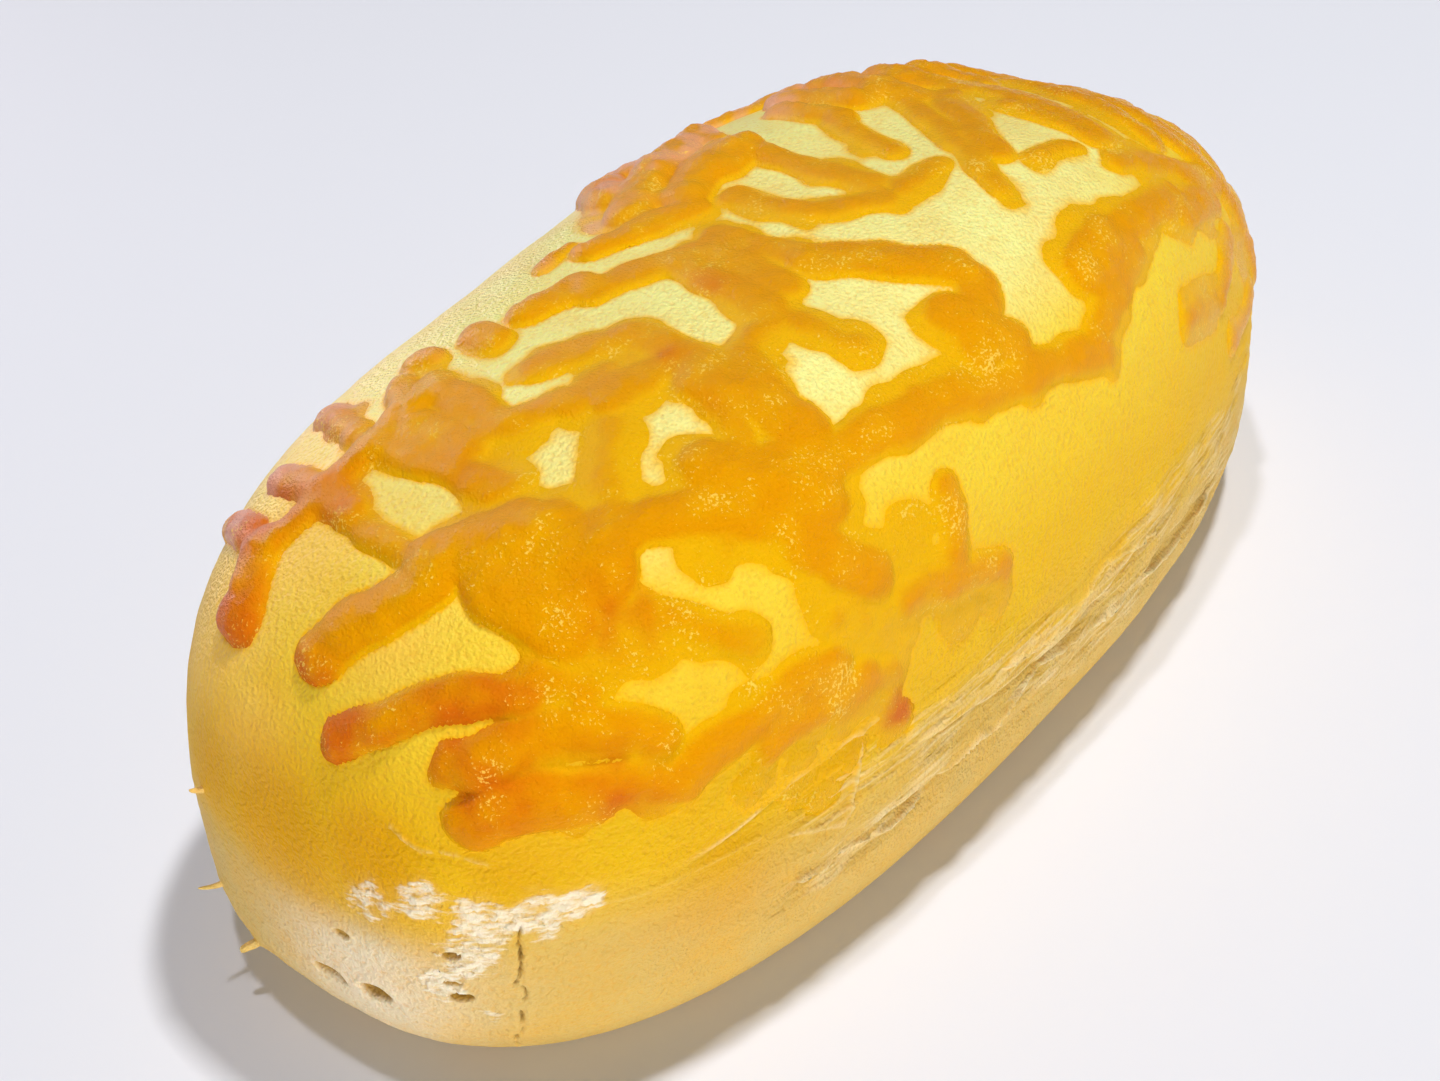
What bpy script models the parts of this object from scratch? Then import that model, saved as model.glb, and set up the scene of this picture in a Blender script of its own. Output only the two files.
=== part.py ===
"""Cheese bun: an oval milk-dough roll baked with grated cheese melted over its crown.

Metres, +Z up. The roll lies along X on its flat base, with the origin at the middle of the base.
The roll is one solid, with the creases, pores and crack of its crust cut in. The cheese shreds
that melted together are one solid laid on the crust, and a shred that lies on its own is a solid
of its own.
"""

import math
import random
from collections import namedtuple

import bmesh
import bpy
from mathutils import Vector

MM = 0.001

# The roll
LENGTH = 150 * MM
WIDTH = 73 * MM
HEIGHT = 54 * MM
WIDEST_LEVEL = 11 * MM
PLAN_SQUARENESS = 2.7
DOME_SQUARENESS = 3.0
BASE_SQUARENESS = 2.4
BASE_DROP = 22 * MM
FAR_END_FULLNESS = 0.02
CRUST_CUTS = 19
FINE_BAND = (4 * MM, 30 * MM)
FINE_REACH = 58 * MM

# Where the dough slumped, rose or folded: place, how far the form spreads, and its rise, in mm
Swell = namedtuple("Swell", "x y z spread rise")
SWELLS = (
    Swell(-22, 33, 42, 24, -2.4),
    Swell(60, 10, 42, 20, -3.2),
    Swell(24, 28, 44, 18, -1.6),
    Swell(50, -24, 44, 12, -0.8),
    Swell(-62, -24, 34, 12, 0.7),
    Swell(10, -36, 26, 22, 0.6),
    Swell(8, 36, 22, 26, 1.0),
    Swell(75, -2, 12, 16, 0.5),
    Swell(-52, -30, 10, 3.0, -0.8),
)

# Creases along the fuller side: from x to x, height, how far it wanders, width and depth, in mm
Crease = namedtuple("Crease", "x0 x1 z wander width depth")
CREASES = (
    Crease(-46, 42, 11.5, 1.4, 1.8, 1.1),
    Crease(-30, 30, 17.5, 1.8, 1.4, 0.5),
    Crease(-56, -26, 24.0, 1.6, 1.3, 0.5),
)
CREASE_FADE = 7

# Pores that broke through the near end, and the size of each mouth: along and up, in mm
Pore = namedtuple("Pore", "x y z long tall")
PORES = (
    Pore(-75.0, -4.2, 10.5, 3.0, 1.8),
    Pore(-74.3, -9.6, 11.4, 2.7, 2.0),
    Pore(-71.0, -17.2, 18.9, 1.2, 1.1),
    Pore(-71.0, -17.7, 13.4, 1.5, 1.2),
)
PORE_DEPTH = 1.4 * MM

# The crack that runs up the near end
CRACK_TOP = Vector((-66.3, -22.0, 21.8)) * MM
CRACK_FOOT = Vector((-66.8, -18.8, 3.5)) * MM
CRACK_TURNS = 9
CRACK_JAG = 0.7 * MM
CRACK_WIDTH = 0.55 * MM
CRACK_SEED = 4

# Scraps of dough that dried on the near end's far side: place on the crust, width and length, in mm
Tag = namedtuple("Tag", "x y z width length")
TAGS = (
    Tag(-72.8, 12.0, 23.6, 1.3, 0.9),
    Tag(-73.4, 12.0, 11.6, 1.1, 1.9),
    Tag(-74.0, 8.0, 6.4, 1.5, 1.3),
)

# The cheese
CHEESE_GAP = 0.3 * MM
THICK_PER_WIDTH = 0.36
SHRED_RINGS = 10
SHRED_SIDES = 10
CHEESE_EDGE = 0.985
SLOPE_STEP = 1.5 * MM
MELT_VOXEL = 0.8 * MM
MELT_PASSES = 4
CHEESE_TRIANGLES = 6200
SMALLEST_SHRED = 25 * MM * MM

# Where each shred that can be told apart lies, seen from above, in mm: from, to, width
Shred = namedtuple("Shred", "x0 y0 x1 y1 width")
NEAR_END = (
    Shred(-69.8, -4.5, -59.5, -18.5, 4.2),
    Shred(-66.5, -14.5, -63.0, -19.5, 3.8),
    Shred(-68.0, -17.5, -58.5, -25.6, 5.4),
    Shred(-65.5, -17.0, -56.0, -24.0, 5.0),
    Shred(-61.0, -23.5, -51.5, -29.2, 5.0),
    Shred(-58.5, -21.5, -52.0, -27.5, 5.0),
    Shred(-58.5, -18.0, -55.0, -22.5, 4.0),
    Shred(-66.5, 0.8, -56.5, -6.5, 5.6),
    Shred(-66.0, 10.5, -59.0, 13.0, 6.0),
    Shred(-60.0, 12.0, -50.0, 9.5, 4.2),
)
LEFT_RIM = (
    Shred(-59.0, 15.0, -56.5, 22.5, 4.2),
    Shred(-52.8, 18.0, -55.5, 5.0, 4.4),
    Shred(-55.5, 6.0, -56.0, -3.0, 3.6),
    Shred(-45.0, 20.0, -48.0, 12.0, 4.0),
    Shred(-41.0, 13.5, -43.5, 8.0, 4.8),
    Shred(-38.0, 15.0, -36.5, 12.5, 4.4),
    Shred(-32.0, 12.0, -33.0, 8.5, 4.8),
    Shred(-28.5, 9.5, -20.5, 7.0, 5.2),
    Shred(-20.0, 14.5, -14.5, 14.5, 3.2),
    Shred(-16.5, 11.5, -3.5, 6.5, 4.8),
)
CROWN = (
    Shred(-50.0, 9.5, -39.0, 9.0, 5.0),
    Shred(-48.5, 10.0, -47.5, -6.0, 5.0),
    Shred(-45.0, 8.0, -45.0, -1.0, 5.0),
    Shred(-40.5, 8.0, -42.0, -2.0, 5.0),
    Shred(-54.5, -9.5, -54.0, -19.0, 7.5),
    Shred(-50.0, -9.0, -48.5, -19.0, 8.0),
    Shred(-56.0, -4.5, -47.5, -13.0, 7.0),
    Shred(-47.0, -15.5, -43.5, -17.5, 6.0),
    Shred(-44.0, -14.5, -36.0, -8.8, 3.4),
    Shred(-42.0, -1.5, -36.0, -3.5, 4.4),
    Shred(-38.0, -4.0, -31.0, -4.5, 4.4),
    Shred(-35.0, 2.0, -25.5, -1.8, 4.8),
    Shred(-26.0, -2.0, -25.0, -12.0, 5.2),
    Shred(-35.0, -6.2, -27.0, -8.5, 5.2),
    Shred(-31.2, -20.0, -28.0, -13.5, 4.6),
    Shred(-27.0, -11.0, -25.0, -22.5, 7.0),
    Shred(-22.5, -12.0, -24.0, -19.0, 5.0),
    Shred(-23.0, 6.2, -11.0, 1.0, 4.8),
    Shred(-13.5, 2.0, -15.5, -11.0, 5.6),
    Shred(-10.0, 1.0, -11.5, -10.0, 5.4),
    Shred(-22.0, -12.3, -16.0, -11.8, 3.6),
    Shred(-15.0, -12.0, -13.5, -20.0, 3.6),
    Shred(-8.0, 1.5, -6.0, -9.0, 5.2),
    Shred(-7.0, -7.5, 4.0, -20.5, 6.2),
    Shred(4.5, -21.0, -3.5, -26.5, 6.0),
    Shred(-3.5, -21.5, 2.0, -28.5, 6.0),
    Shred(-0.3, 5.0, 1.5, -4.5, 4.6),
    Shred(1.5, -4.5, 8.5, -8.0, 4.4),
    Shred(9.3, 9.0, 9.3, -6.0, 4.8),
    Shred(10.0, -8.2, 18.3, -8.6, 4.2),
    Shred(16.6, -3.5, 20.3, 7.0, 4.2),
    Shred(30.0, 4.0, 17.8, -16.0, 4.2),
    Shred(34.5, 2.5, 22.8, -12.0, 5.0),
    Shred(25.5, -14.0, 33.5, -15.8, 3.8),
    Shred(40.5, 3.0, 39.0, -17.0, 5.0),
    Shred(37.0, -5.0, 37.0, -17.0, 4.4),
)
RIGHT_SHOULDER = (
    Shred(-53.0, -28.4, -34.0, -32.4, 5.4),
    Shred(-45.0, -31.0, -31.5, -33.6, 4.8),
    Shred(-36.0, -33.2, -28.0, -34.2, 3.8),
    Shred(-48.8, -22.0, -41.5, -28.8, 4.0),
    Shred(-43.0, -17.5, -31.5, -26.5, 5.8),
    Shred(-36.0, -17.5, -28.5, -27.5, 7.0),
    Shred(-34.0, -27.0, -27.0, -32.0, 5.6),
    Shred(-30.0, -22.0, -27.0, -26.0, 6.0),
    Shred(-15.5, -30.6, -18.0, -34.4, 4.4),
    Shred(-26.0, -33.0, -11.0, -35.2, 4.4),
    Shred(-27.0, -24.5, -6.0, -28.0, 5.4),
    Shred(-8.0, -28.3, 13.5, -31.8, 5.0),
    Shred(15.8, -27.0, 23.5, -25.4, 7.6),
    Shred(12.0, -31.0, 26.0, -27.2, 5.0),
    Shred(24.0, -25.6, 40.0, -25.0, 5.2),
    Shred(29.0, -32.8, 40.0, -31.8, 3.8),
    Shred(39.0, -32.0, 49.0, -27.5, 4.2),
    Shred(34.5, -19.8, 46.0, -21.5, 4.8),
    Shred(38.0, -26.5, 50.0, -25.0, 5.0),
    Shred(42.0, -34.0, 53.0, -29.5, 4.0),
)
FAR_END = (
    Shred(48.5, 2.0, 47.5, -18.0, 5.6),
    Shred(52.5, -3.0, 52.0, -15.0, 5.4),
    Shred(45.0, -22.0, 54.0, -23.0, 5.4),
    Shred(20.5, 15.0, 21.5, 6.0, 5.0),
    Shred(25.0, 18.0, 26.0, 8.0, 5.6),
    Shred(31.0, 17.0, 31.5, 3.5, 6.2),
    Shred(36.5, 13.0, 38.0, 2.0, 6.2),
    Shred(42.5, 12.0, 44.5, 2.0, 6.0),
    Shred(25.0, 8.0, 46.0, 9.0, 5.0),
    Shred(48.0, 11.0, 53.0, 3.0, 5.6),
    Shred(-8.5, 12.0, 5.0, 19.0, 6.2),
    Shred(-6.0, 17.0, 2.0, 25.5, 6.2),
    Shred(-4.0, 9.0, 9.0, 13.5, 6.2),
    Shred(0.0, 16.0, 13.0, 20.5, 6.2),
    Shred(2.0, 10.0, 11.0, 12.0, 6.0),
)

# On the side that the fuller one hides, and over the far end, one shred lies at random in each
# cell of a grid: from x, to x, from y, to y in mm, and how many cells each way
HIDDEN_SEED = 7
Patch = namedtuple("Patch", "x0 x1 y0 y1 columns rows")
HIDDEN_PATCHES = (
    Patch(2, 58, 21, 32, 7, 2),
    Patch(52, 66, -26, 18, 2, 6),
)
HIDDEN_LENGTH = (8, 15)
HIDDEN_WIDTH = (4.2, 5.6)
CELL_MARGIN = 0.3


def material(name, colour, roughness):
    """A plain finish of one colour."""
    made = bpy.data.materials.new(name)
    made.use_nodes = True
    shader = made.node_tree.nodes["Principled BSDF"]
    shader.inputs["Base Color"].default_value = (*colour, 1)
    shader.inputs["Roughness"].default_value = roughness
    shader.inputs["Metallic"].default_value = 0
    return made


def collection(name):
    made = bpy.data.collections.new(name)
    bpy.context.scene.collection.children.link(made)
    return made


def add_object(name, bm, home):
    """The bmesh as a smooth-shaded object in that collection."""
    mesh = bpy.data.meshes.new(name)
    bm.to_mesh(mesh)
    bm.free()
    mesh.shade_smooth()
    made = bpy.data.objects.new(name, mesh)
    home.objects.link(made)
    return made


def as_cutter(obj):
    obj.hide_render = True
    obj.display_type = "WIRE"
    return obj


def apply_modifiers(obj):
    """Replaces the object's mesh by the one that its modifiers make."""
    graph = bpy.context.evaluated_depsgraph_get()
    mesh = bpy.data.meshes.new_from_object(obj.evaluated_get(graph))
    obj.modifiers.clear()
    obj.data = mesh


def add_boolean(obj, other, operation, solver="EXACT"):
    made = obj.modifiers.new(operation.lower(), "BOOLEAN")
    made.operation = operation
    made.object = other
    made.solver = solver


def bell(distance, spread):
    """1 at the middle, fading smoothly to nothing past about twice the spread."""
    return math.exp(-((distance / spread) ** 2))


def smooth_form(direction, grow):
    """The roll without its unevenness, along a direction from the middle of its widest level."""
    x, y, z = direction
    squareness = DOME_SQUARENESS if z > 0 else BASE_SQUARENESS
    rise = HEIGHT - WIDEST_LEVEL if z > 0 else BASE_DROP
    plan = (abs(x) ** PLAN_SQUARENESS + abs(y) ** PLAN_SQUARENESS) ** (1 / PLAN_SQUARENESS)
    reach = (plan**squareness + abs(z) ** squareness) ** (-1 / squareness)
    x, y, z = x * reach, y * reach, z * reach
    breadth = (WIDTH / 2 + grow) * (1 + FAR_END_FULLNESS * x)
    return Vector((x * (LENGTH / 2 + grow), y * breadth, z * (rise + grow) + WIDEST_LEVEL))


def relief(point):
    """How far the crust stands off its smooth form at a point of it."""
    rise = sum(swell.rise * bell((point / MM - Vector(swell[:3])).length, swell.spread) for swell in SWELLS)
    x, y, z = point / MM
    for crease in CREASES:
        if y < 0:
            line = crease.z + crease.wander * math.sin(x / 9 + crease.z)
            ends = min(1, max(0, x - crease.x0) / CREASE_FADE, max(0, crease.x1 - x) / CREASE_FADE)
            lip = bell(z - line - 1.5 * crease.width, crease.width) / 2
            rise += crease.depth * ends * (lip - bell(z - line, crease.width))
    return rise * MM


def crust_point(direction, grow=0.0):
    """The crust along a direction, grown all round by a distance."""
    point = smooth_form(direction, grow)
    spine = LENGTH / 2 - WIDTH / 2
    middle = Vector((min(spine, max(-spine, point.x)), 0, WIDEST_LEVEL))
    return point + (point - middle).normalized() * relief(point)


def roll(name, home, grow=0.0):
    """The roll: a cube rounded to the crust's form and cut flat at its base."""
    bm = bmesh.new()
    bmesh.ops.create_cube(bm, size=2)
    bmesh.ops.subdivide_edges(bm, edges=bm.edges[:], cuts=CRUST_CUTS, use_grid_fill=True)
    for vertex in bm.verts:
        vertex.co = Vector(math.tan(part * math.pi / 4) for part in vertex.co).normalized()
    refine_creased_side(bm)
    for vertex in bm.verts:
        vertex.co = crust_point(vertex.co.normalized(), grow)
    whole = bm.verts[:] + bm.edges[:] + bm.faces[:]
    base = Vector((0, 0, -grow))
    cut = bmesh.ops.bisect_plane(bm, geom=whole, plane_co=base, plane_no=(0, 0, -1), clear_outer=True)
    rim = [part for part in cut["geom_cut"] if isinstance(part, bmesh.types.BMEdge)]
    bmesh.ops.holes_fill(bm, edges=rim)
    bmesh.ops.recalc_face_normals(bm, faces=bm.faces)
    return add_object(name, bm, home)


def refine_creased_side(bm):
    """Halves the mesh where the creases run, while it is still a round ball."""
    fine = []
    for face in bm.faces:
        place = smooth_form(face.calc_center_median().normalized(), 0)
        if place.y < 0 and abs(place.x) < FINE_REACH and FINE_BAND[0] < place.z < FINE_BAND[1]:
            fine += face.edges
    bmesh.ops.subdivide_edges(bm, edges=list(set(fine)), cuts=1, use_grid_fill=True)


def side_of_crust(crust, place):
    """The crust's point and normal beside a place near it, looking in level from outside."""
    outward = Vector((place.x * WIDTH / LENGTH, place.y * LENGTH / WIDTH, 0)).normalized()
    _, point, normal, _ = crust.ray_cast(place + outward * WIDTH, -outward)
    return point, normal


def pore_cutters(crust, home):
    """A ball for each pore, sunk in the crust to its depth."""
    bm = bmesh.new()
    for pore in PORES:
        place, normal = side_of_crust(crust, Vector(pore[:3]) * MM)
        ball = bmesh.ops.create_uvsphere(bm, u_segments=8, v_segments=5, radius=1)
        along = Vector((0, 0, 1)).cross(normal).normalized() * pore.long * MM / 2
        up = normal.cross(along).normalized() * pore.tall * MM / 2
        for vertex in ball["verts"]:
            x, y, z = vertex.co
            vertex.co = place + along * x + up * y + normal * PORE_DEPTH * z
    return as_cutter(add_object("pore_cutters", bm, home))


def crack_cutter(crust, home):
    """A thin jagged rod half sunk in the crust, wider in its middle."""
    draw = random.Random(CRACK_SEED)
    line = bpy.data.curves.new("crack_line", "CURVE")
    line.dimensions = "3D"
    line.bevel_depth = CRACK_WIDTH / 2
    line.bevel_resolution = 0
    line.use_fill_caps = True
    spline = line.splines.new("POLY")
    spline.points.add(CRACK_TURNS - 1)
    for turn, corner in enumerate(spline.points):
        along = turn / (CRACK_TURNS - 1)
        place = CRACK_TOP.lerp(CRACK_FOOT, along)
        place.y += draw.uniform(-1, 1) * CRACK_JAG
        point, _ = side_of_crust(crust, place)
        corner.co = (*point, 1)
        corner.radius = 0.5 + math.sin(math.pi * along)
    rod = bpy.data.objects.new("crack_rod", line)
    home.objects.link(rod)
    bpy.context.view_layer.update()
    mesh = bpy.data.meshes.new_from_object(rod.evaluated_get(bpy.context.evaluated_depsgraph_get()))
    bpy.data.objects.remove(rod)
    bm = bmesh.new()
    bm.from_mesh(mesh)
    bmesh.ops.remove_doubles(bm, verts=bm.verts, dist=0.01 * MM)
    bmesh.ops.recalc_face_normals(bm, faces=bm.faces)
    return as_cutter(add_object("crack_cutter", bm, home))


def dough_tags(crust, home):
    """Small cones that stand on the crust, their feet sunk in it."""
    bm = bmesh.new()
    for tag in TAGS:
        place, normal = side_of_crust(crust, Vector(tag[:3]) * MM)
        turn = Vector((0, 0, 1)).rotation_difference(normal).to_matrix().to_4x4()
        turn.translation = place + normal * tag.length * MM / 4
        bmesh.ops.create_cone(
            bm,
            cap_ends=True,
            segments=6,
            radius1=tag.width * MM / 2,
            radius2=tag.width * MM / 8,
            depth=tag.length * MM * 1.5,
            matrix=turn,
        )
    return as_cutter(add_object("dough_tags", bm, home))


def foot_on_crust(crust, x, y):
    """Where a plumb line at x, y meets the crust. A line past its edge is drawn in to the edge."""
    squared = abs(2 * x / LENGTH) ** PLAN_SQUARENESS + abs(2 * y / WIDTH) ** PLAN_SQUARENESS
    inward = min(1, CHEESE_EDGE / squared ** (1 / PLAN_SQUARENESS)) if squared else 1
    _, point, _, _ = crust.ray_cast(Vector((x * inward, y * inward, 2 * HEIGHT)), Vector((0, 0, -1)))
    return point


def even_normal(crust, x, y):
    """The crust's slope at x, y, evened over a few millimetres."""
    along = foot_on_crust(crust, x + SLOPE_STEP, y) - foot_on_crust(crust, x - SLOPE_STEP, y)
    across = foot_on_crust(crust, x, y + SLOPE_STEP) - foot_on_crust(crust, x, y - SLOPE_STEP)
    return along.cross(across).normalized()


def shred(crust, place, name, home):
    """A grated shred draped on the crust: a ball drawn out along its line, wider than it is thick."""
    start, end = Vector((place.x0, place.y0)) * MM, Vector((place.x1, place.y1)) * MM
    along = (end - start).normalized()
    half_width = place.width / 2 * MM
    start -= along * half_width
    end += along * half_width
    bm = bmesh.new()
    bmesh.ops.create_uvsphere(bm, u_segments=SHRED_SIDES, v_segments=SHRED_RINGS, radius=1)
    for vertex in bm.verts:
        ring = math.hypot(vertex.co.x, vertex.co.y)
        fullness = (1 - abs(vertex.co.z) ** 3) ** (1 / 3) / ring if ring > 1e-6 else 0
        centre = start.lerp(end, (1 + vertex.co.z) / 2)
        normal = even_normal(crust, *centre)
        across = normal.cross(Vector((*along, 0))).normalized()
        side = vertex.co.x * fullness * half_width
        lift = vertex.co.y * fullness * half_width * 2 * THICK_PER_WIDTH
        vertex.co = foot_on_crust(crust, *centre) + across * side + normal * lift
    bmesh.ops.recalc_face_normals(bm, faces=bm.faces)
    return add_object(name, bm, home)


def hidden_shreds():
    """The shreds that follow no drawing: one in each cell, at a random turn."""
    draw = random.Random(HIDDEN_SEED)
    for patch in HIDDEN_PATCHES:
        for cell in range(patch.columns * patch.rows):
            column, row = divmod(cell, patch.rows)
            across = (column + draw.uniform(CELL_MARGIN, 1 - CELL_MARGIN)) / patch.columns
            up = (row + draw.uniform(CELL_MARGIN, 1 - CELL_MARGIN)) / patch.rows
            x = patch.x0 + (patch.x1 - patch.x0) * across
            y = patch.y0 + (patch.y1 - patch.y0) * up
            turn = draw.uniform(0, math.pi)
            half = draw.uniform(*HIDDEN_LENGTH) / 2
            dx, dy = half * math.cos(turn), half * math.sin(turn)
            yield Shred(x - dx, y - dy, x + dx, y + dy, draw.uniform(*HIDDEN_WIDTH))


def melt(shreds):
    """The shreds as one mass: joined, softened where they meet, and thinned to few faces."""
    first, others = shreds[0], shreds[1:]
    gathered = bpy.data.collections.new("other_shreds")
    for obj in others:
        gathered.objects.link(obj)
    join = first.modifiers.new("join", "BOOLEAN")
    join.operation = "UNION"
    join.operand_type = "COLLECTION"
    join.collection = gathered
    join.solver = "MANIFOLD"
    soften = first.modifiers.new("soften", "REMESH")
    soften.mode = "VOXEL"
    soften.voxel_size = MELT_VOXEL
    settle = first.modifiers.new("settle", "SMOOTH")
    settle.factor = 0.5
    settle.iterations = MELT_PASSES
    apply_modifiers(first)
    for obj in others:
        bpy.data.objects.remove(obj)
    bpy.data.collections.remove(gathered)
    thin = first.modifiers.new("thin", "DECIMATE")
    thin.ratio = min(1.0, CHEESE_TRIANGLES / (2 * len(first.data.polygons)))
    apply_modifiers(first)
    return first


def loose_parts(mesh):
    """The vertex numbers of each of the mesh's separate bodies."""
    bm = bmesh.new()
    bm.from_mesh(mesh)
    left = set(bm.verts)
    while left:
        found, edge = set(), [left.pop()]
        while edge:
            vertex = edge.pop()
            found.add(vertex.index)
            near = [link.other_vert(vertex) for link in vertex.link_edges]
            edge += [other for other in near if other in left]
            left.difference_update(near)
        yield found
    bm.free()


def keep_only(mesh, numbers, home):
    """A new object with only those of the mesh's vertices."""
    bm = bmesh.new()
    bm.from_mesh(mesh)
    bmesh.ops.delete(bm, geom=[v for v in bm.verts if v.index not in numbers], context="VERTS")
    return add_object("cheese", bm, home)


def area_of(obj):
    return sum(face.area for face in obj.data.polygons)


def split_cheese(cheese, home, finish):
    """One object for the mass and one for each shred that lies on its own. Scraps are dropped."""
    parts = [keep_only(cheese.data, numbers, home) for numbers in loose_parts(cheese.data)]
    bpy.data.objects.remove(cheese)
    parts.sort(key=area_of, reverse=True)
    for number, part in enumerate(parts):
        if area_of(part) < SMALLEST_SHRED:
            bpy.data.objects.remove(part)
            continue
        part.name = "melted_cheese" if number == 0 else f"cheese_shred_{number}"
        part.data.materials.append(finish)


def main():
    for obj in list(bpy.data.objects):
        bpy.data.objects.remove(obj)
    home = collection("cheese_bun")
    cutters = collection("cutters")

    bun = roll("bun", home)
    bun.data.materials.append(material("egg_washed_crust", (0.78, 0.52, 0.20), 0.38))
    seat = as_cutter(roll("cheese_seat", cutters, CHEESE_GAP))
    bpy.context.view_layer.update()

    places = [*NEAR_END, *LEFT_RIM, *CROWN, *RIGHT_SHOULDER, *FAR_END, *hidden_shreds()]
    cheese = melt([shred(bun, place, f"shred_{i}", home) for i, place in enumerate(places)])
    add_boolean(cheese, seat, "DIFFERENCE", "MANIFOLD")
    apply_modifiers(cheese)
    split_cheese(cheese, home, material("melted_cheddar", (0.88, 0.42, 0.03), 0.42))

    tags = dough_tags(bun, cutters)
    pores = pore_cutters(bun, cutters)
    crack = crack_cutter(bun, cutters)
    add_boolean(bun, tags, "UNION")
    add_boolean(bun, pores, "DIFFERENCE")
    add_boolean(bun, crack, "DIFFERENCE")


main()
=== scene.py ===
"""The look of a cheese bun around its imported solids: the crust, the melted cheese, and a plain studio."""

import math
import random

import bpy
import numpy as np
from mathutils import Matrix, Vector, noise
from mathutils.bvhtree import BVHTree


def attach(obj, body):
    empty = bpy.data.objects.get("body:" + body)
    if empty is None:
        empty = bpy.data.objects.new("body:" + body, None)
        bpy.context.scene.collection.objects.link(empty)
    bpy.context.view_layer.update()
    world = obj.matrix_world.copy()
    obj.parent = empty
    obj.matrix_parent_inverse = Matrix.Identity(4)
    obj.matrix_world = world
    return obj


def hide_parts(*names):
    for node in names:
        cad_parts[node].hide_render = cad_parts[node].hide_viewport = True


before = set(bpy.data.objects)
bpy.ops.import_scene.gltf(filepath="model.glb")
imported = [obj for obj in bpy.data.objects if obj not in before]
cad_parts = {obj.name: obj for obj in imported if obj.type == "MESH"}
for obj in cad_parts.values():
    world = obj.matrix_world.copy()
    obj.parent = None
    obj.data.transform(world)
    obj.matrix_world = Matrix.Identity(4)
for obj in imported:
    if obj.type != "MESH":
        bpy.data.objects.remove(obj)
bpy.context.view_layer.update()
bpy.ops.object.select_all(action="DESELECT")

# Crust: the whole roll, soft milk dough brushed with egg over its crown and baked pale. Its skin
# shrank into long creases and fine wrinkles along the sides as it cooled, and steam broke pores,
# a crack and dry flakes through the end that was brushed least.
MM = 0.001
CRUST_GRAIN = 0.7
CRUST_PASSES = 16
HALF_LENGTH = 75
HALF_WIDTH = 36.5
TOP = 55


def take_solid(node, name, grain, passes):
    """A new piece from a CAD solid: its triangles merged, made even at a grain in mm and smoothed."""
    piece = bpy.data.objects.new(name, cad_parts[node].data.copy())
    bpy.context.collection.objects.link(piece)
    piece.data.materials.clear()
    bpy.context.view_layer.objects.active = piece
    piece.select_set(True)
    bpy.ops.object.mode_set(mode="EDIT")
    bpy.ops.mesh.select_all(action="SELECT")
    bpy.ops.mesh.remove_doubles(threshold=0.01 * MM)
    bpy.ops.object.mode_set(mode="OBJECT")
    even = piece.modifiers.new("even", "REMESH")
    even.mode = "VOXEL"
    even.voxel_size = grain * MM
    soften = piece.modifiers.new("soften", "SMOOTH")
    soften.factor = 0.5
    soften.iterations = passes
    bpy.ops.object.modifier_apply(modifier="even")
    bpy.ops.object.modifier_apply(modifier="soften")
    piece.select_set(False)
    return piece


def points_of(piece):
    """Every point of the piece in mm, one a row."""
    flat = np.empty(3 * len(piece.data.vertices))
    piece.data.vertices.foreach_get("co", flat)
    return flat.reshape(-1, 3) / MM


def normals_of(piece):
    """The way that every point of the piece faces, one a row."""
    flat = np.empty(3 * len(piece.data.vertices))
    piece.data.vertices.foreach_get("normal", flat)
    return flat.reshape(-1, 3)


def move_points(piece, points):
    """Moves every point of the piece to its row, in mm."""
    piece.data.vertices.foreach_set("co", (points * MM).ravel())
    piece.data.update()


def fade(value, start, end):
    """0 before start, 1 after end, and a soft step between."""
    part = np.clip((value - start) / (end - start), 0, 1)
    return part * part * (3 - 2 * part)


def bell(distance, spread):
    """1 at no distance, and next to nothing past twice the spread."""
    return np.exp(-((distance / spread) ** 2))


def spot(points, place, reach):
    """1 at a place, fading to nothing past about twice the reach, in mm."""
    return bell(np.linalg.norm(points - np.array(place), axis=1), reach)


def strongest_spot(points, spots):
    """How strongly spots cover each point, given where each lies, its reach in mm and its strength."""
    cover = np.zeros(len(points))
    for place, reach, strength in spots:
        cover = np.maximum(cover, strength * spot(points, place, reach))
    return cover


def unevenness(points, size, seed, octaves=2):
    """Cloudy noise about 0 whose lumps are size mm across, or long, wide and tall by three sizes."""
    places = points / np.array(size) + seed * 17.3
    return np.array([noise.fractal(place, 1.0, 2.0, octaves) for place in places.tolist()])


def refine(piece, chosen, passes):
    """Halves the mesh where chosen says so, and eases the new points."""
    bpy.context.view_layer.objects.active = piece
    piece.select_set(True)
    bpy.ops.object.mode_set(mode="EDIT")
    bpy.ops.mesh.select_all(action="DESELECT")
    bpy.ops.object.mode_set(mode="OBJECT")
    faces = piece.data.polygons
    middles = np.empty(3 * len(faces))
    faces.foreach_get("center", middles)
    faces.foreach_set("select", chosen(middles.reshape(-1, 3) / MM))
    bpy.ops.object.mode_set(mode="EDIT")
    bpy.ops.mesh.subdivide(number_cuts=1)
    bpy.ops.mesh.vertices_smooth(factor=0.5, repeat=passes)
    bpy.ops.object.mode_set(mode="OBJECT")
    piece.select_set(False)


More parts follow.
